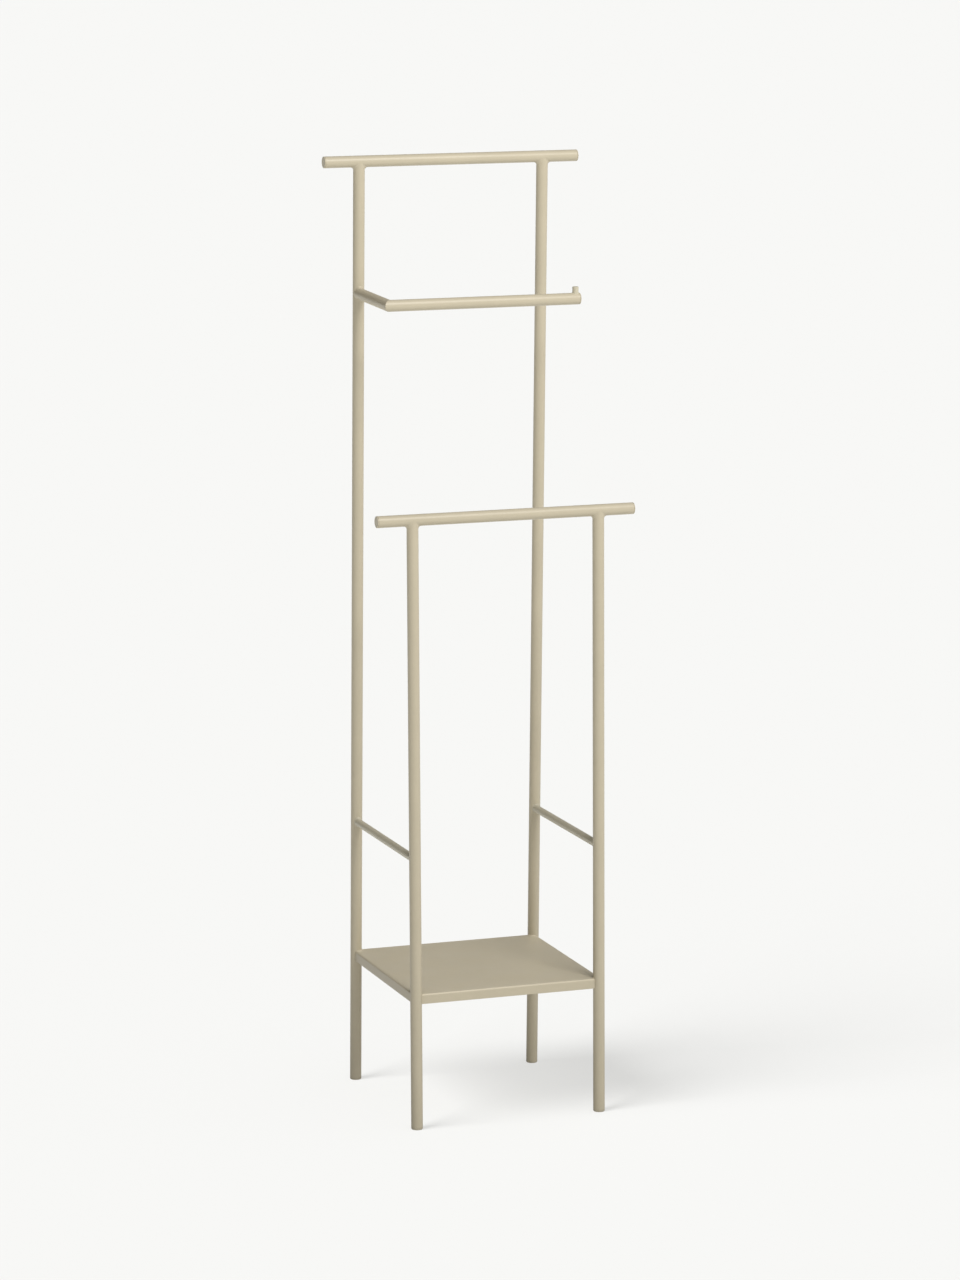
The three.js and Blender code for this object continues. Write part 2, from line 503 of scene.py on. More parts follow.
TUBE_COAT = Finish("powder coat on tube", Slot.TUBE)
RAIL_COAT = Finish("powder coat on rails", Slot.TUBE, rub_amount=0.6, roughness=0.40)
ROD_COAT = Finish(
    "powder coat on rod",
    Slot.ROD,
    thick=(0.555, 0.510, 0.385),
    thin=(0.575, 0.530, 0.400),
    peel_size=1.9 * MM,
    patch_size=35 * MM,
)
SHEET_COAT = Finish(
    "powder coat on sheet",
    Slot.SHEET,
    peel_size=3.2 * MM,
    relief=0.085 * MM,
    patch_size=110 * MM,
    dust_amount=0.14,
    edge_amount=0.45,
)
PLUG_COAT = Finish(
    "powder coat on plugs", Slot.PLUG, peel_size=1.6 * MM, patch_size=12 * MM, edge_amount=0.5
)
GLIDE_NYLON = Finish(
    "moulded nylon",
    Slot.GLIDE,
    thick=(0.510, 0.457, 0.340),
    thin=(0.530, 0.475, 0.353),
    worn=(0.50, 0.455, 0.345),
    roughness=0.58,
    roughness_swing=0.12,
    peel_size=0.9 * MM,
    grain_size=0.18 * MM,
    grain_share=0.6,
    relief=0.022 * MM,
    patch_size=9 * MM,
    edge_amount=0.6,
    dust_amount=0.0,
)


# ---------------------------------------------------------------------------------------------
# Shapes
# ---------------------------------------------------------------------------------------------


@dataclass(frozen=True)
class Line:
    """A centre line: a point on it and its unit direction."""

    start: Vector
    along: Vector

    @classmethod
    def between(cls, start: Vector, end: Vector) -> "Line":
        """The line from one point towards another."""
        return cls(start, (end - start).normalized())

    def at(self, distance: float) -> Vector:
        """The point this far along."""
        return self.start + self.along * distance

    def at_height(self, height: float) -> Vector:
        """The point at this height above the floor."""
        return self.at((height - self.start.z) / self.along.z)

    def frame(self) -> Matrix:
        """The placing that stands +Z along the line, with the origin at its start."""
        return Matrix.Translation(self.start) @ self.along.to_track_quat("Z", "Y").to_matrix().to_4x4()

    def reversed_at(self, distance: float) -> "Line":
        """The line that starts this far along and runs back."""
        return Line(self.at(distance), -self.along)


def centre_of(node: str) -> Vector:
    """The centre of a CAD node's box."""
    low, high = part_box(node)
    return (low + high) / 2


def ring_edges(mesh: BMesh, ring: list[BMVert]) -> list[BMEdge]:
    """The edges that join each vertex of a closed ring to the next."""
    return [mesh.edges.get((vert, ring[index - 1])) for index, vert in enumerate(ring)]


def ease_edges(mesh: BMesh, edges: list[BMEdge], width: float, steps: int) -> None:
    """Rounds edges.

    Args:
        mesh: their mesh.
        edges: the edges.
        width: how far each side draws back.
        steps: how many faces the rounding has across.
    """
    bmesh.ops.bevel(
        mesh, geom=edges, offset=width, segments=steps, profile=0.5, affect="EDGES", material=-1
    )


def finished(mesh: BMesh, name: str) -> Object:
    """Turns a bmesh into a smooth-shaded object that stands at the origin.

    Args:
        mesh: the bmesh, which is freed.
        name: the object's name.

    Returns:
        The object, whose flat faces keep their own shading.
    """
    bmesh.ops.recalc_face_normals(mesh, faces=mesh.faces[:])
    for face in mesh.faces:
        face.smooth = True
    for edge in mesh.edges:
        edge.smooth = edge.calc_face_angle(0.0) < SHARP_ANGLE
    data = bpy.data.meshes.new(name)
    mesh.to_mesh(data)
    mesh.free()
    piece = bpy.data.objects.new(name, data)
    bpy.context.scene.collection.objects.link(piece)
    return piece


def weigh_normals(piece: Object) -> None:
    """Lets a piece's large faces rule the shading of the eased edges between them."""
    modifier = piece.modifiers.new("weighted normals", "WEIGHTED_NORMAL")
    modifier.keep_sharp = True


def install(piece: Object, finish: Finish, *nodes: str) -> Object:
    """Dresses a piece and ties it to the stand.

    Args:
        piece: the piece.
        finish: its finish.
        nodes: the CAD nodes that it stands for.

    Returns:
        The piece.
    """
    weigh_normals(piece)
    piece.data.materials.append(finish.material())
    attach(piece, "root")
    if nodes:
        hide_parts(*nodes)
    return piece


@dataclass
class Ring:
    """The places of one ring of a round bar's vertices, and whether its edges are eased."""

    places: Places
    ease: float = 0.0


@dataclass(frozen=True)
class BarEnd:
    """One end of a round bar, before it is cut.

    The outward line is the bar's centre line, running out through this end, and the radials are
    unit vectors from it to each of a ring's vertices. The bore is 0 in a solid bar.
    """

    outward: Line
    radials: Places
    radius: float
    bore: float

    def circle(self, radius: float) -> Places:
        """The places of a ring of some radius where the bar ends."""
        return [self.outward.start + radial * radius for radial in self.radials]

    def drawn_back(self, places: Places, distance: float) -> Ring:
        """A ring this far back along the bar, which keeps its wall straight up to the cut."""
        return Ring([place - self.outward.along * distance for place in places])


class EndCut(Protocol):
    """How one end of a round bar is made."""

    def rings(self, end: BarEnd) -> list[Ring]:
        """The rings from the plain wall to the bore.

        Args:
            end: the end to cut.

        Returns:
            The rings in order.
        """


@dataclass(frozen=True)
class SquareEnd:
    """An end cut square, with its edges eased."""

    ease: float = 0.25 * MM
    support: float = 3 * MM

    def rings(self, end: BarEnd) -> list[Ring]:
        """The rings from the plain wall to the bore.

        Args:
            end: the end to cut.

        Returns:
            The rings in order.
        """
        outer = end.circle(end.radius)
        rings = [end.drawn_back(outer, self.support), Ring(outer, self.ease)]
        if end.bore > 0:
            rings.append(Ring(end.circle(end.bore), self.ease))
        return rings


@dataclass(frozen=True)
class MitreEnd:
    """An end cut on a slant, to meet another bar at a corner."""

    point: Vector
    normal: Vector
    ease: float = 0.22 * MM
    support: float = 1.5 * MM

    def reach(self, outward: Line, offset: Vector) -> Vector:
        """Where one line of the wall meets the mitre.

        Args:
            outward: the bar's centre line.
            offset: from the centre line to the wall.

        Returns:
            The meeting point.
        """
        origin = outward.start + offset
        distance = (self.point - origin).dot(self.normal) / outward.along.dot(self.normal)
        return origin + outward.along * distance

    def rings(self, end: BarEnd) -> list[Ring]:
        """The rings from the plain wall to the bore.

        Args:
            end: the end to cut.

        Returns:
            The rings in order.
        """
        outer = [self.reach(end.outward, radial * end.radius) for radial in end.radials]
        inner = [self.reach(end.outward, radial * end.bore) for radial in end.radials]
        return [end.drawn_back(outer, self.support), Ring(outer, self.ease), Ring(inner, self.ease)]


@dataclass(frozen=True)
class WeldedSaddle:
    """An end coped to another round bar, with the painted fillet of the weld all round it."""

    host: Line
    host_radius: float
    leg: float = 2.8 * MM
    steps: int = 7
    least: float = 0.16
    fullness: float = 0.22
    ripple: float = 0.035
    ripples: int = 17
    sunk: float = 0.12 * MM
    forward: float = 0.35
    support: float = 2 * MM
    seat_depth: float = 0.5 * MM
    seat_share: float = 0.5

    def meet(self, outward: Line, offset: Vector, host_radius: float) -> tuple[Vector, Vector]:
        """Where one line of the bar's wall meets the host.

        Args:
            outward: the bar's centre line, towards the host.
            offset: from the centre line to the wall.
            host_radius: the host's radius.

        Returns:
            The meeting point and the host's normal there.
        """
        origin = outward.start + offset
        direction = outward.along - self.host.along * outward.along.dot(self.host.along)
        away = origin - self.host.start
        away = away - self.host.along * away.dot(self.host.along)
        square = direction.length_squared
        half = away.dot(direction)
        root = math.sqrt(max(half * half - square * (away.length_squared - host_radius**2), 0.0))
        distance = (-half - root) / square
        return origin + outward.along * distance, (away + direction * distance).normalized()

    def on_host(self, place: Vector) -> Vector:
        """The point of the host's wall nearest to a place, a little under its surface."""
        foot = self.host.at((place - self.host.start).dot(self.host.along))
        return foot + (place - foot).normalized() * (self.host_radius - self.sunk)

    def fillet(self, outward: Line, radial: Vector, radius: float, turn: float) -> Places:
        """The weld's curve, from the bar's wall to the host's.

        Args:
            outward: the bar's centre line, towards the host.
            radial: the unit vector to this line of the wall.
            radius: the bar's radius.
            turn: how far round the bar it is, in radians.

        Returns:
            The curve's points.
        """
        corner, normal = self.meet(outward, radial * radius, self.host_radius)
        flatness = abs(radial.dot(normal))
        squareness = self.least + (1 - self.least) * (1 - flatness)
        leg = self.leg * squareness * (1 + self.ripple * math.sin(self.ripples * turn))
        spread = radial + outward.along * (self.forward * flatness)
        spread = (spread - normal * spread.dot(normal)).normalized()
        first = corner - outward.along * leg
        last = self.on_host(corner + spread * leg)
        knee = corner.lerp((first + last) / 2, self.fullness)
        points = []
        for step in range(self.steps + 1):
            share = step / self.steps
            points.append(first.lerp(knee, share).lerp(knee.lerp(last, share), share))
        return points

    def rings(self, end: BarEnd) -> list[Ring]:
        """The rings from the plain wall to the bore.

        Args:
            end: the end to cut.

        Returns:
            The rings in order.
        """
        outward, count = end.outward, len(end.radials)
        curves = [
            self.fillet(outward, radial, end.radius, FULL_TURN * index / count)
            for index, radial in enumerate(end.radials)
        ]
        support = end.drawn_back([curve[0] for curve in curves], self.support)
        inner = max(end.bore, self.seat_share * end.radius)
        under = self.host_radius - self.seat_depth
        seat = [self.meet(outward, radial * inner, under)[0] for radial in end.radials]
        return [support, *(Ring(list(places)) for places in zip(*curves)), Ring(seat)]


@dataclass(frozen=True)
class RoundBar:
    """A straight round tube, or a solid rod where it has no bore."""

    name: str
    line: Line
    length: float
    radius: float
    start: EndCut
    finish: EndCut
    bore: float = 0.0
    sides: int = 96
    pitch: float = 80 * MM

    def build(self) -> Object:
        """Grows the bar ring by ring from one end to the other, and closes it.

        Returns:
            The finished piece.
        """
        mesh = bmesh.new()
        turn = self.line.along.to_track_quat("Z", "Y").to_matrix().to_4x4()
        circle = bmesh.ops.create_circle(mesh, segments=self.sides, radius=1.0, matrix=turn)["verts"]
        radials = [vert.co.normalized() for vert in circle]
        section = (radials, self.radius, self.bore)
        far = Line(self.line.at(self.length), self.line.along)
        head = self.start.rings(BarEnd(self.line.reversed_at(0.0), *section))
        tail = self.finish.rings(BarEnd(far, *section))
        stretches = max(1, round(self.length / self.pitch))
        wall = [
            Ring([a.lerp(b, step / stretches) for a, b in zip(head[0].places, tail[0].places)])
            for step in range(1, stretches)
        ]
        eased: dict[float, list[BMEdge]] = {}
        ring = circle
        ends = []
        for index, made in enumerate([*reversed(head), *wall, *tail]):
            ring = self.grown(mesh, ring, made.places, index > 0)
            ends.append(ring)
            if made.ease:
                eased.setdefault(made.ease, []).extend(ring_edges(mesh, ring))
        self.close(mesh, ends[0], ends[-1])
        for ease, edges in eased.items():
            ease_edges(mesh, edges, ease, 3)
        return finished(mesh, self.name)

    @staticmethod
    def grown(mesh: BMesh, ring: list, places: Places, extrude: bool) -> list:
        """Puts a ring in its place, after extruding it from the one before.

        Args:
            mesh: the bar's mesh.
            ring: the vertices of the last ring.
            places: where the new ring's vertices go.
            extrude: whether the ring is a new one.

        Returns:
            The new ring's vertices.
        """
        if extrude:
            made = bmesh.ops.extrude_edge_only(mesh, edges=ring_edges(mesh, ring))["geom"]
            fresh = {item for item in made if isinstance(item, BMVert)}
            ring = [
                next(other for edge in vert.link_edges if (other := edge.other_vert(vert)) in fresh)
                for vert in ring
            ]
        for vert, place in zip(ring, places):
            vert.co = place
        return ring

    def close(self, mesh: BMesh, first: list, last: list) -> None:
        """Joins the two ends through the bore, or fills them where the bar is solid.

        Args:
            mesh: the bar's mesh.
            first: the ring at the bar's start.
            last: the ring at its finish.
        """
        if self.bore > 0:
            bmesh.ops.bridge_loops(mesh, edges=ring_edges(mesh, first) + ring_edges(mesh, last))
            return
        for ring in (first, last):
            bmesh.ops.edgeloop_fill(mesh, edges=ring_edges(mesh, ring))


@dataclass(frozen=True)
class Corner:
    """A corner of a turned profile: its radius, its height and how much it is eased."""

    radius: float
    height: float
    ease: float = 0.0


@dataclass(frozen=True)
class Turned:
    """A piece turned about its axis from a profile that starts and ends on that axis."""

    name: str
    profile: list[Corner]
    place: Matrix
    sides: int = 96
    floor_cut: bool = False

    def build(self) -> Object:
        """Spins the profile, eases its corners and puts it in its place.

        Returns:
            The finished piece.
        """
        mesh = bmesh.new()
        chain = [mesh.verts.new((corner.radius, 0.0, corner.height)) for corner in self.profile]
        for first, second in zip(chain, chain[1:]):
            mesh.edges.new((first, second))
        bmesh.ops.spin(
            mesh,
            geom=mesh.verts[:] + mesh.edges[:],
            cent=(0, 0, 0),
            axis=UP,
            angle=FULL_TURN,
            steps=self.sides,
            use_merge=True,
        )
        bmesh.ops.remove_doubles(mesh, verts=mesh.verts[:], dist=1e-7)
        for corner in self.profile:
            if corner.ease:
                self.eased(mesh, corner)
        bmesh.ops.recalc_face_normals(mesh, faces=mesh.faces[:])
        bmesh.ops.transform(mesh, matrix=self.place, verts=mesh.verts[:])
        if self.floor_cut:
            self.cut_at_floor(mesh)
        return finished(mesh, self.name)

    @staticmethod
    def eased(mesh: BMesh, corner: Corner) -> None:
        """Rounds the ring of edges that one corner of the profile has made.

        Args:
            mesh: the piece's mesh, still upright at the origin.
            corner: the corner.
        """

        def on_ring(vert: BMVert) -> bool:
            """Whether a vertex belongs to the corner's ring."""
            return abs(vert.co.xy.length - corner.radius) < 1e-6 and abs(vert.co.z - corner.height) < 1e-6

        edges = [edge for edge in mesh.edges if all(on_ring(vert) for vert in edge.verts)]
        ease_edges(mesh, edges, corner.ease, 4)

    @staticmethod
    def cut_at_floor(mesh: BMesh) -> None:
        """Cuts away what lies below the floor and closes the flat face that is left.

        Args:
            mesh: the piece's mesh, in its place.
        """
        everything = mesh.verts[:] + mesh.edges[:] + mesh.faces[:]
        bmesh.ops.bisect_plane(
            mesh, geom=everything, dist=1e-8, plane_co=(0, 0, 0), plane_no=UP, clear_inner=True
        )
        rim = [edge for edge in mesh.edges if edge.is_boundary]
        bmesh.ops.edgeloop_fill(mesh, edges=rim)


# ---------------------------------------------------------------------------------------------
# Sub-assemblies
# ---------------------------------------------------------------------------------------------


@dataclass(frozen=True)
class TubeStock:
    """The round tube, a hair under its nominal 7.5 mm so that it stays inside the CAD model's facets."""

    radius: float = 7.497 * MM
    bore: float = 6.0 * MM
    mouth_ease: float = 0.15 * MM


@dataclass(frozen=True)
class EndPlug:
    """A press-in plug whose flange closes a tube's end."""

    flange: float = 1.5 * MM
    stem: float = 12 * MM
    stem_radius: float = 5.7 * MM
    edge: float = 0.9 * MM
    seam: float = 0.15 * MM
    dish: float = 0.12 * MM
    dish_rim: float = 2.2 * MM
    dish_share: float = 0.6
    seam_ease: float = 0.15 * MM
    tip_ease: float = 0.8 * MM

    def build(self, name: str, face: Line, radius: float) -> Object:
        """Turns one plug.

        Args:
            name: the piece's name.
            face: the centre of its face and the direction it faces.
            radius: the tube's radius.

        Returns:
            The piece.
        """
        profile = [
            Corner(0.0, -self.dish),
            Corner(radius - self.dish_rim, -self.dish * self.dish_share),
            Corner(radius, 0.0, self.edge),
            Corner(radius, -self.flange, self.seam_ease),
            Corner(self.stem_radius, -self.flange),
            Corner(self.stem_radius, -self.flange - self.stem, self.tip_ease),
            Corner(0.0, -self.flange - self.stem),
        ]
        return Turned(name, profile, face.frame()).build()


@dataclass(frozen=True)
class FootGlide:
    """A nylon glide: a ribbed stem up the bore, and a flange that stands on the floor."""

    flange: float = 2.5 * MM
    face_radius: float = 6.7 * MM
    edge: float = 0.8 * MM
    core_radius: float = 5.1 * MM
    rib_radius: float = 5.7 * MM
    rib_pitch: float = 4 * MM
    ribs: int = 3
    spare: float = 1 * MM
    face_ease: float = 0.3 * MM
    edge_ease: float = 0.4 * MM
    seam_ease: float = 0.2 * MM
    rib_ease: float = 0.2 * MM
    tip_ease: float = 0.3 * MM

    def build(self, name: str, axis: Line, radius: float) -> Object:
        """Turns one glide and cuts it level with the floor.

        Args:
            name: the piece's name.
            axis: the upright's centre line, from the floor up.
            radius: the tube's radius.

        Returns:
            The piece.
        """
        profile = [
            Corner(0.0, -self.spare),
            Corner(self.face_radius, -self.spare),
            Corner(self.face_radius, 0.0, self.face_ease),
            Corner(radius, self.edge, self.edge_ease),
            Corner(radius, self.flange, self.seam_ease),
        ]
        for rib in range(self.ribs):
            low = self.flange + rib * self.rib_pitch
            middle = low + self.rib_pitch / 2
            profile += [Corner(self.core_radius, low), Corner(self.core_radius, middle)]
            profile += [Corner(self.rib_radius, middle, self.rib_ease)]
        top = self.flange + self.ribs * self.rib_pitch
        profile += [Corner(self.core_radius, top, self.tip_ease), Corner(0.0, top)]
        return Turned(name, profile, axis.frame(), floor_cut=True).build()


@dataclass(frozen=True)
class Ladder:
    """One ladder frame: two uprights, the rail on them, its end plugs and the glides in its feet."""

    label: str
    rail_node: str
    foot_y: float
    half_spacing: float = 125 * MM
    weld: float = 4.0 * MM
    tube: TubeStock = TubeStock()
    plug: EndPlug = EndPlug()
    glide: FootGlide = FootGlide()

    def axis(self, side: Side) -> Line:
        """The centre line of one upright, from the floor up.

        Args:
            side: which upright.

        Returns:
            The line.
        """
        rail = centre_of(self.rail_node)
        x = side.value * self.half_spacing
        return Line.between(Vector((x, self.foot_y, 0.0)), Vector((x, rail.y, rail.z)))

    def square(self) -> Vector:
        """The direction square to the frame, towards the back."""
        return self.axis(Side.LEFT).along.cross(RIGHTWARDS)

    def rail_line(self) -> Line:
        """The rail's centre line, from the middle to the right."""
        return Line(centre_of(self.rail_node), RIGHTWARDS)

    def upright(self, side: Side) -> Object:
        """One upright, welded to the rail at its top.

        Args:
            side: which upright.

        Returns:
            The piece.
        """
        axis = self.axis(side)
        bottom = self.glide.flange + self.plug.seam
        height = (self.rail_line().start - axis.start).dot(axis.along)
        bar = RoundBar(
            f"{self.label}_{side.word}_upright_tube",
            Line(axis.at(bottom), axis.along),
            height - bottom,
            self.tube.radius,
            SquareEnd(),
            WeldedSaddle(self.rail_line(), self.tube.radius, self.weld),
            self.tube.bore,
        )
        return install(bar.build(), TUBE_COAT, f"{self.label}_{side.word}_upright")

    def rail(self) -> Object:
        """The rail, open at both ends for its plugs.

        Returns:
            The piece.
        """
        low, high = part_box(self.rail_node)
        reach = self.plug.seam
        line = Line(Vector((low.x - reach, *centre_of(self.rail_node).yz)), RIGHTWARDS)
        bar = RoundBar(
            f"{self.rail_node}_tube",
            line,
            high.x - low.x + 2 * reach,
            self.tube.radius,
            SquareEnd(self.tube.mouth_ease),
            SquareEnd(self.tube.mouth_ease),
            self.tube.bore,
        )
        return install(bar.build(), RAIL_COAT, self.rail_node)

    def end_plug(self, side: Side) -> Object:
        """The plug in one end of the rail.

        Args:
            side: which end.

        Returns:
            The piece.
        """
        node = f"{self.rail_node}_{side.word}_plug"
        low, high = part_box(node)
        x = high.x if side is Side.RIGHT else low.x
        face = Line(Vector((x, *centre_of(self.rail_node).yz)), Vector((side.value, 0.0, 0.0)))
        return install(self.plug.build(f"{node}_cap", face, self.tube.radius), PLUG_COAT, node)

    def foot(self, side: Side) -> Object:
        """The glide in one foot.

        Args:
            side: which foot.

        Returns:
            The piece.
        """
        node = f"{self.label}_{side.word}_glide"
        piece = self.glide.build(f"{node}_foot", self.axis(side), self.tube.radius)
        return install(piece, GLIDE_NYLON, node)

    def build(self) -> list[Object]:
        """Builds and dresses the whole frame.

        Returns:
            Its pieces.
        """
        pieces = [self.rail()]
        for side in Side:
            pieces += [self.upright(side), self.end_plug(side), self.foot(side)]
        return pieces


@dataclass(frozen=True)
class TrouserArm:
    """The arm: a return from the left rear upright, a mitred corner, a long bar and its stop peg."""

    ladder: Ladder
    mitre_clearance: float = 0.03 * MM
    root_weld: float = 3.2 * MM
    peg_radius: float = 4 * MM
    peg_weld: float = 1.2 * MM
    peg_edge: float = 0.6 * MM
    peg_headroom: float = 0.1 * MM

    def corner(self) -> Vector:
        """Where the centre lines of the return and the bar cross."""
        bar = centre_of("arm_bar")
        return Vector((-self.ladder.half_spacing, bar.y, bar.z))

    def bar_line(self) -> Line:
        """The bar's centre line, from the corner to its free end."""
        return Line(self.corner(), RIGHTWARDS)

    def mitre(self, towards: float) -> MitreEnd:
        """The mitre at the corner, set back a hair to one side of its plane.

        Args:
            towards: 1.0 for the bar's side of the plane, -1.0 for the return's.

        Returns:
            The end's cut.
        """
        normal = (RIGHTWARDS - self.ladder.square()).normalized()
        return MitreEnd(self.corner() + normal * (towards * self.mitre_clearance), normal)

    def build_return(self) -> Object:
        """The return, from the mitred corner back to the upright.

        Returns:
            The piece.
        """
        tube = self.ladder.tube
        host = self.ladder.axis(Side.LEFT)
        line = Line(self.corner(), self.ladder.square())
        bar = RoundBar(
            "arm_return_tube",
            line,
            (host.at_height(self.corner().z) - self.corner()).dot(line.along),
            tube.radius,
            self.mitre(-1.0),
            WeldedSaddle(host, tube.radius, self.root_weld),
            tube.bore,
            pitch=30 * MM,
        )
        return install(bar.build(), TUBE_COAT, "arm_return")

    def build_bar(self) -> Object:
        """The long bar, from the mitred corner to its plug.

        Returns:
            The piece.
        """
        tube = self.ladder.tube
        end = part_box("arm_bar")[1].x + self.ladder.plug.seam
        bar = RoundBar(
            "arm_bar_tube",
            self.bar_line(),
            end - self.corner().x,
            tube.radius,
            self.mitre(1.0),
            SquareEnd(tube.mouth_ease),
            tube.bore,
        )
        return install(bar.build(), RAIL_COAT, "arm_bar")

    def build_plug(self) -> Object:
        """The plug in the bar's free end.

        Returns:
            The piece.
        """
        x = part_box("arm_bar_plug")[1].x
        face = Line(Vector((x, *self.corner().yz)), RIGHTWARDS)
        piece = self.ladder.plug.build("arm_bar_cap", face, self.ladder.tube.radius)
        return install(piece, PLUG_COAT, "arm_bar_plug")

    def build_peg(self) -> Object:
        """The stop peg that stands on the bar.

        Returns:
            The piece.
        """
        up = self.ladder.axis(Side.LEFT).along
        low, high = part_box("arm_stop_peg")
        foot = Vector(((low.x + high.x) / 2, *self.corner().yz))
        rise = (high.z - foot.z) / up.z - self.peg_headroom
        bar = RoundBar(
            "arm_peg",
            Line(foot, up),
            rise,
            self.peg_radius,
            WeldedSaddle(self.bar_line(), self.ladder.tube.radius, self.peg_weld, ripples=9),
            SquareEnd(self.peg_edge),
            sides=64,
        )
        return install(bar.build(), ROD_COAT, "arm_stop_peg")

    def build(self) -> list[Object]:
        """Builds and dresses the arm.

        Returns:
            Its pieces.
        """
        return [self.build_return(), self.build_bar(), self.build_plug(), self.build_peg()]


@dataclass(frozen=True)
class SideRods:
    """The two thin rods that tie the front frame to the rear one."""

    rear: Ladder
    front: Ladder
    radius: float = 5 * MM
    weld: float = 2.6 * MM

    def rod(self, side: Side) -> Object:
        """One rod, welded to the uprights at both its ends.

        Args:
            side: which rod.

        Returns:
            The piece.
        """
        node = f"{side.word}_side_rod"
        height = centre_of(node).z
        rear, front = self.rear.axis(side), self.front.axis(side)
        line = Line.between(front.at_height(height), rear.at_height(height))
        bar = RoundBar(
            f"{side.word}_rod",
            line,
            (rear.at_height(height) - line.start).length,
            self.radius,
            WeldedSaddle(front, self.front.tube.radius, self.weld, ripples=13),
            WeldedSaddle(rear, self.rear.tube.radius, self.weld, ripples=13),
            sides=72,
            pitch=40 * MM,
        )
        return install(bar.build(), ROD_COAT, node)

    def build(self) -> list[Object]:
        """Builds and dresses both rods."""
        return [self.rod(side) for side in Side]


@dataclass(frozen=True)
class TrayCorner:
    """One corner of the shelf, notched round an upright."""

    upright: Line
    side: Side
    back: bool
    notch: float

    def centre(self, height: float) -> Vector:
        """The upright's centre at a height."""
        return self.upright.at_height(height)

    def ends(self, fold_x: float, fold_y: float, height: float) -> list[Vector]:
        """Where the notch meets the fold lines, in the order met going round anticlockwise.

        Args:
            fold_x: how far out the side's fold line is, from the middle of the shelf.
            fold_y: where the front's or back's fold line is.
            height: the height of the sheet.

        Returns:
            The two places.
        """
        centre = self.centre(height)
        lengthways = 1 if self.back else -1
        over_x = fold_x - abs(centre.x)
        over_y = (fold_y - centre.y) * lengthways
        on_long = Vector(
            (centre.x - self.side.value * math.sqrt(self.notch**2 - over_y**2), fold_y, height)
        )
        on_side = Vector(
            (self.side.value * fold_x, centre.y - lengthways * math.sqrt(self.notch**2 - over_x**2), height)
        )
        return [on_long, on_side] if self.side.value * lengthways < 0 else [on_side, on_long]


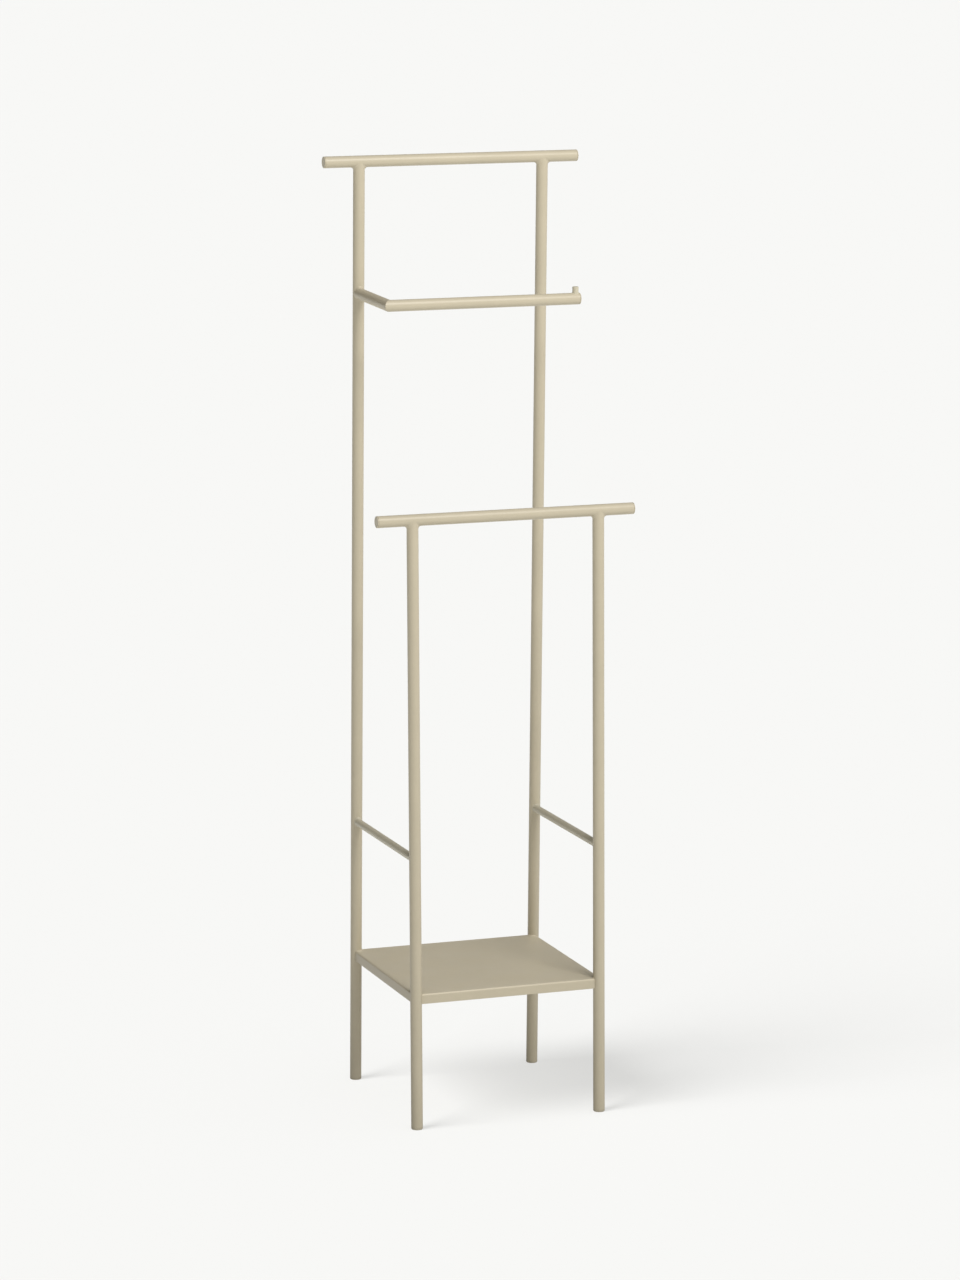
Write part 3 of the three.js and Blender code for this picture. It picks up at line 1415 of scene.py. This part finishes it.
@dataclass(frozen=True)
class ShelfTray:
    """The shelf: one sheet with its edges folded down, notched round the uprights and welded."""

    rear: Ladder
    front: Ladder
    sheet: float = 1.5 * MM
    fold: float = 2.5 * MM
    fold_steps: int = 8
    notch: float = 7.62 * MM
    notch_steps: int = 28
    weld: float = 1.9 * MM
    rim_ease: float = 0.3 * MM
    rim_angle: float = math.radians(50)
    weld_steps: int = 6
    weld_hollow: float = 0.12
    weld_inset: float = 0.4 * MM
    weld_root: float = 0.8 * MM
    weld_sunk: float = 0.03 * MM
    weld_toe: float = 0.3 * MM
    taper_rate: float = 6.0
    taper_least: float = 0.35
    ripple: float = 0.05
    ripples: float = 31.0

    def corners(self) -> list[TrayCorner]:
        """The shelf's corners, anticlockwise from the front right.

        Returns:
            The corners.
        """
        found = []
        for side, back in ((Side.RIGHT, False), (Side.RIGHT, True), (Side.LEFT, True), (Side.LEFT, False)):
            ladder = self.rear if back else self.front
            found.append(TrayCorner(ladder.axis(side), side, back, self.notch))
        return found

    def arc(self, corner: TrayCorner) -> tuple[Vector, Vector, float]:
        """A corner's notch in the flat of the sheet.

        Args:
            corner: the corner.

        Returns:
            Its first place, its centre, and the angle to turn through, which is negative.
        """
        low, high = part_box("shelf_tray")
        top = high.z
        fold_y = high.y - self.fold if corner.back else low.y + self.fold
        first, last = corner.ends(high.x - self.fold, fold_y, top)
        centre = corner.centre(top)
        return first, centre, -(first - centre).angle(last - centre)

    def flat(self, mesh: BMesh) -> list[BMEdge]:
        """Lays out the flat of the sheet.

        Args:
            mesh: the shelf's mesh.

        Returns:
            The four straight edges between its notches, in the order of the corners.
        """
        arcs = []
        for corner in self.corners():
            first, centre, sweep = self.arc(corner)
            vert = mesh.verts.new(first)
            spun = bmesh.ops.spin(
                mesh, geom=[vert], cent=centre, axis=UP, angle=sweep, steps=self.notch_steps
            )
            last = next(item for item in spun["geom_last"] if isinstance(item, BMVert))
            arcs.append((vert, last))
        straight = []
        for index, (_, last) in enumerate(arcs):
            straight.append(mesh.edges.new((last, arcs[(index + 1) % len(arcs)][0])))
        bmesh.ops.edgeloop_fill(mesh, edges=mesh.edges[:])
        return straight

    def fold_down(self, mesh: BMesh, edge: BMEdge, ends: list[TrayCorner]) -> None:
        """Folds one flange down from an edge of the flat.

        Args:
            mesh: the shelf's mesh.
            edge: the edge that it folds from.
            ends: the corners at the edge's two ends.
        """
        low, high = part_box("shelf_tray")
        direction = (edge.verts[1].co - edge.verts[0].co).normalized()
        middle = (edge.verts[0].co + edge.verts[1].co) / 2
        outward = direction.cross(UP)
        if outward.dot(middle - Vector((0.0, 0.0, middle.z))) < 0:
            outward.negate()
        before = set(mesh.verts)
        spun = bmesh.ops.spin(
            mesh,
            geom=[edge, *edge.verts],
            cent=middle - UP * self.fold,
            axis=UP.cross(outward),
            angle=QUARTER_TURN,
            steps=self.fold_steps,
        )
        last = next(item for item in spun["geom_last"] if isinstance(item, BMEdge))
        drawn = bmesh.ops.extrude_edge_only(mesh, edges=[last])["geom"]
        lowest = [item for item in drawn if isinstance(item, BMVert)]
        bmesh.ops.translate(mesh, verts=lowest, vec=-UP * (high.z - low.z - self.fold))
        for vert in set(mesh.verts) - before:
            nearest = min(ends, key=lambda corner: (corner.centre(vert.co.z) - vert.co).length)
            self.slide_to_notch(vert, direction, nearest)

    def slide_to_notch(self, vert: BMVert, direction: Vector, corner: TrayCorner) -> None:
        """Slides a flange's end along its fold until it meets the notch.

        Args:
            vert: the vertex to move.
            direction: along the fold.
            corner: the corner that it belongs to.
        """
        away = vert.co - corner.centre(vert.co.z)
        lengthways = away.dot(direction)
        across = (away - direction * lengthways).length
        reach = math.sqrt(max(self.notch**2 - across**2, 0.0))
        vert.co += direction * (math.copysign(reach, lengthways) - lengthways)

    def tray(self) -> Object:
        """The folded sheet, with its thickness and its eased cut edges.

        Returns:
            The piece.
        """
        mesh = bmesh.new()
        straight = self.flat(mesh)
        corners = self.corners()
        for index, edge in enumerate(straight):
            self.fold_down(mesh, edge, [corners[index], corners[(index + 1) % len(corners)]])
        piece = finished(mesh, "shelf_sheet")
        wall = piece.modifiers.new("sheet thickness", "SOLIDIFY")
        wall.thickness = self.sheet
        wall.offset = -1.0
        wall.use_even_offset = True
        ease = piece.modifiers.new("cut edges", "BEVEL")
        ease.width = self.rim_ease
        ease.segments = 3
        ease.limit_method = "ANGLE"
        ease.angle_limit = self.rim_angle
        return install(piece, SHEET_COAT, "shelf_tray")

    def corner_weld(self, corner: TrayCorner) -> Object:
        """The painted weld between the sheet and one upright.

        Args:
            corner: the corner that it fills.

        Returns:
            The piece.
        """
        first, centre, sweep = self.arc(corner)
        radius = self.rear.tube.radius
        radial = (first - centre).normalized()
        knee = self.weld_hollow * self.weld
        mesh = bmesh.new()
        places = [(-self.weld_inset, -self.weld_root), (-self.weld_inset, self.weld)]
        for step in range(self.weld_steps + 1):
            share = step / self.weld_steps
            up = (1 - share) ** 2 * self.weld + 2 * share * (1 - share) * knee
            out = 2 * share * (1 - share) * knee + share**2 * self.weld
            places.append((out, up - self.weld_sunk))
        places.append((self.weld_toe, -self.weld_root))
        verts = [mesh.verts.new(centre + radial * (radius + out) + UP * up) for out, up in places]
        mesh.faces.new(verts)
        bmesh.ops.spin(
            mesh,
            geom=mesh.verts[:] + mesh.edges[:] + mesh.faces[:],
            cent=centre,
            axis=corner.upright.along,
            angle=sweep,
            steps=self.notch_steps,
        )
        self.taper(mesh, centre, radial, abs(sweep), radius)
        back = "rear" if corner.back else "front"
        return install(finished(mesh, f"shelf_weld_{back}_{corner.side.word}"), SHEET_COAT)

    def taper(self, mesh: BMesh, centre: Vector, radial: Vector, sweep: float, radius: float) -> None:
        """Draws a weld's two ends down to nothing.

        Args:
            mesh: the weld's mesh.
            centre: the upright's centre at the sheet.
            radial: towards the weld's first end.
            sweep: how far round it goes.
            radius: the upright's radius.
        """
        for vert in mesh.verts:
            level = vert.co - centre
            flat = Vector((level.x, level.y, 0.0))
            share = flat.angle(radial) / sweep
            full = min(1.0, self.taper_rate * min(share, 1 - share) + self.taper_least)
            kept = full * (1 + self.ripple * math.sin(self.ripples * share))
            out = flat.length - radius
            if out > 0:
                flat = flat.normalized() * (radius + out * kept)
            height = level.z * kept if level.z > 0 else level.z
            vert.co = centre + flat + UP * height

    def build(self) -> list[Object]:
        """Builds and dresses the shelf and its welds."""
        return [self.tray(), *(self.corner_weld(corner) for corner in self.corners())]


# ---------------------------------------------------------------------------------------------
# Studio
# ---------------------------------------------------------------------------------------------


def hang(data: Light, away: Vector, lit: Collection) -> Object:
    """Hangs a lamp at the origin, which lights only what it is hung for.

    Args:
        data: its light.
        away: the direction from what it shines on to the lamp.
        lit: what it lights.

    Returns:
        The lamp.
    """
    lamp = bpy.data.objects.new(data.name, data)
    lamp.rotation_euler = away.to_track_quat("Z", "Y").to_euler()
    lamp.light_linking.receiver_collection = lit
    bpy.context.scene.collection.objects.link(lamp)
    return lamp


@dataclass(frozen=True)
class SoftSun:
    """A broad distant lamp, which lights only what it is hung for."""

    name: str
    azimuth: float
    elevation: float
    strength: float
    spread: float
    colour: Colour = (1.0, 1.0, 1.0)

    def build(self, lit: Collection, shading: Collection | None = None) -> Object:
        """Hangs the lamp: azimuth 0 shines from the front, and 90 from the right.

        Args:
            lit: what the lamp lights.
            shading: what casts shadows in its light, or None for everything.

        Returns:
            The lamp.
        """
        data = bpy.data.lights.new(self.name, "SUN")
        data.energy = self.strength
        data.angle = math.radians(self.spread)
        data.color = self.colour
        turn, rise = math.radians(self.azimuth), math.radians(self.elevation)
        level = math.cos(rise)
        source = Vector((math.sin(turn) * level, -math.cos(turn) * level, math.sin(rise)))
        lamp = hang(data, source, lit)
        lamp.light_linking.blocker_collection = shading
        return lamp


@dataclass(frozen=True)
class SoftBox:
    """A square soft box at a working distance, which lights only what it is hung for."""

    name: str
    place: tuple[float, float, float]
    aim: tuple[float, float, float]
    power: float
    width: float
    colour: Colour = (1.0, 1.0, 1.0)

    def build(self, lit: Collection) -> Object:
        """Hangs the soft box.

        Args:
            lit: what it lights.

        Returns:
            The lamp.
        """
        data = bpy.data.lights.new(self.name, "AREA")
        data.shape = "SQUARE"
        data.size = self.width
        data.energy = self.power
        data.color = self.colour
        lamp = hang(data, Vector(self.place) - Vector(self.aim), lit)
        lamp.location = self.place
        return lamp


@dataclass(frozen=True)
class Studio:
    """The pale floor, the soft light and the camera."""

    floor_half: float = 120.0
    floor_colour: Colour = (0.20, 0.20, 0.197)
    floor_glow: float = 0.583
    backdrop: Colour = (0.939, 0.939, 0.922)
    sky_mean: float = 0.24
    sky_lean: tuple[float, float, float] = (0.24, -0.31, 0.24)
    key: SoftBox = SoftBox("key", (0.46, -2.0, 3.0), (0.0, 0.0, 0.75), 53.0, 1.1, (1.0, 0.985, 0.965))
    high_lamp: SoftSun = SoftSun("high floor lamp", -73.0, 46.0, 4.9, 34.0)
    low_lamp: SoftSun = SoftSun("low floor lamp", -79.0, 19.0, 4.1, 28.0)
    shelf_lamp: SoftSun = SoftSun("shelf lamp", 20.0, 76.0, 0.52, 40.0)
    # painted shade: the glow that the floor throws on other surfaces is dimmed to this share under the
    # stand, as if the floor were shaded there; the camera still sees the floor evenly bright
    painted_floor_shade: float = 0.35
    dim_near: float = 0.15
    dim_far: float = 0.75
    eye: tuple[float, float, float] = (-2.02323, -5.69428, 1.71455)
    pitch: float = -10.3738
    yaw: float = -19.6125
    sensor: float = 36.0
    lens: float = 133.5617

    def floor(self) -> Object:
        """The floor, which reaches past what the camera sees, with painted shade in its glow near the
        stand.

        Returns:
            The piece.
        """
        mesh = bmesh.new()
        bmesh.ops.create_grid(mesh, x_segments=2, y_segments=2, size=self.floor_half)
        piece = finished(mesh, "studio_floor")
        material = bpy.data.materials.new("pale studio floor")
        material.use_nodes = True
        shader = material.node_tree.nodes["Principled BSDF"]
        shader.inputs["Base Color"].default_value = (*self.floor_colour, 1.0)
        shader.inputs["Roughness"].default_value = 1.0
        shader.inputs["Specular IOR Level"].default_value = 0.0
        shader.inputs["Emission Color"].default_value = (*self.backdrop, 1.0)
        wiring = Wiring(material.node_tree)
        away = wiring.add("ShaderNodeTexCoord").outputs["Object"]
        distance = wiring.add("ShaderNodeVectorMath", {"operation": "LENGTH"}, {0: away}).outputs["Value"]
        # painted shade: for all rays but the camera's, the glow fades towards the stand, between dim_far
        # and dim_near from its middle
        near = wiring.ramp(distance, self.dim_near, self.dim_far, self.painted_floor_shade, 1.0)
        seen = wiring.add("ShaderNodeLightPath").outputs["Is Camera Ray"]
        glow = wiring.math("MULTIPLY", wiring.math("MAXIMUM", seen, near), self.floor_glow)
        material.node_tree.links.new(glow, shader.inputs["Emission Strength"])
        piece.data.materials.append(material)
        return piece

    @staticmethod
    def group(name: str, pieces: list[Object]) -> Collection:
        """A collection of what one lamp lights.

        Args:
            name: the collection's name.
            pieces: what is in it.

        Returns:
            The collection.
        """
        lit = bpy.data.collections.new(name)
        for piece in pieces:
            lit.objects.link(piece)
        return lit

    def sky(self) -> None:
        """The weak light all round, brighter towards one way, and the backdrop that the camera sees."""
        world = bpy.data.worlds.new("soft room")
        world.use_nodes = True
        tree = world.node_tree
        tree.nodes.clear()
        wiring = Wiring(tree)
        away = wiring.add("ShaderNodeTexCoord").outputs["Generated"]
        lean = wiring.add("ShaderNodeVectorMath", {"operation": "DOT_PRODUCT"}, {0: away, 1: self.sky_lean})
        strength = wiring.math("MAXIMUM", wiring.math("ADD", lean.outputs["Value"], self.sky_mean), 0.0)
        even = wiring.add("ShaderNodeBackground", None, {"Color": WHITE, "Strength": strength})
        seen = wiring.add("ShaderNodeBackground", None, {"Color": (*self.backdrop, 1.0), "Strength": 1.0})
        direct = wiring.add("ShaderNodeLightPath").outputs["Is Camera Ray"]
        both = wiring.add("ShaderNodeMixShader", None, {0: direct, 1: even.outputs[0], 2: seen.outputs[0]})
        wiring.add("ShaderNodeOutputWorld", None, {0: both.outputs[0]})
        bpy.context.scene.world = world

    def camera(self) -> Object:
        """The camera, to the left of the stand and well above its coat rail.

        Returns:
            The camera.
        """
        data = bpy.data.cameras.new("camera")
        data.sensor_width = self.sensor
        data.lens = self.lens
        data.clip_end = 4 * self.floor_half
        camera = bpy.data.objects.new("camera", data)
        camera.location = self.eye
        camera.rotation_euler = (QUARTER_TURN + math.radians(self.pitch), 0.0, math.radians(self.yaw))
        bpy.context.scene.collection.objects.link(camera)
        bpy.context.scene.camera = camera
        return camera

    def build(self, stand: list[Object], shelf: list[Object]) -> None:
        """Sets the whole studio up, with colours shown as they are.

        Args:
            stand: all the stand's pieces.
            shelf: those of the shelf.
        """
        self.camera()
        self.sky()
        self.key.build(self.group("stand pieces", stand))
        surfaces = self.group("studio surfaces", [self.floor()])
        shelf_pieces = self.group("shelf pieces", shelf)
        self.high_lamp.build(surfaces)
        self.low_lamp.build(surfaces, shelf_pieces)
        self.shelf_lamp.build(shelf_pieces)
        bpy.context.scene.view_settings.view_transform = "Standard"


def report(title: str, pieces: list[Object]) -> None:
    """Reports the pieces of one sub-assembly.

    Args:
        title: the sub-assembly.
        pieces: its pieces.
    """
    for piece in pieces:
        LOG.info("%s: %s, %d faces", title, piece.name, len(piece.data.polygons))


def main() -> None:
    """Builds the stand and the studio."""
    logging.basicConfig(level=logging.INFO, format="%(message)s")
    rear = Ladder("rear", "top_rail", FOOT_Y)
    front = Ladder("front", "front_rail", -FOOT_Y)
    made = {
        "rear frame": rear.build(),
        "front frame": front.build(),
        "trouser arm": TrouserArm(rear).build(),
        "side rods": SideRods(rear, front).build(),
        "shelf": ShelfTray(rear, front).build(),
    }
    for title, pieces in made.items():
        report(title, pieces)
    Studio().build([piece for pieces in made.values() for piece in pieces], made["shelf"])


if __name__ == "__main__":
    main()
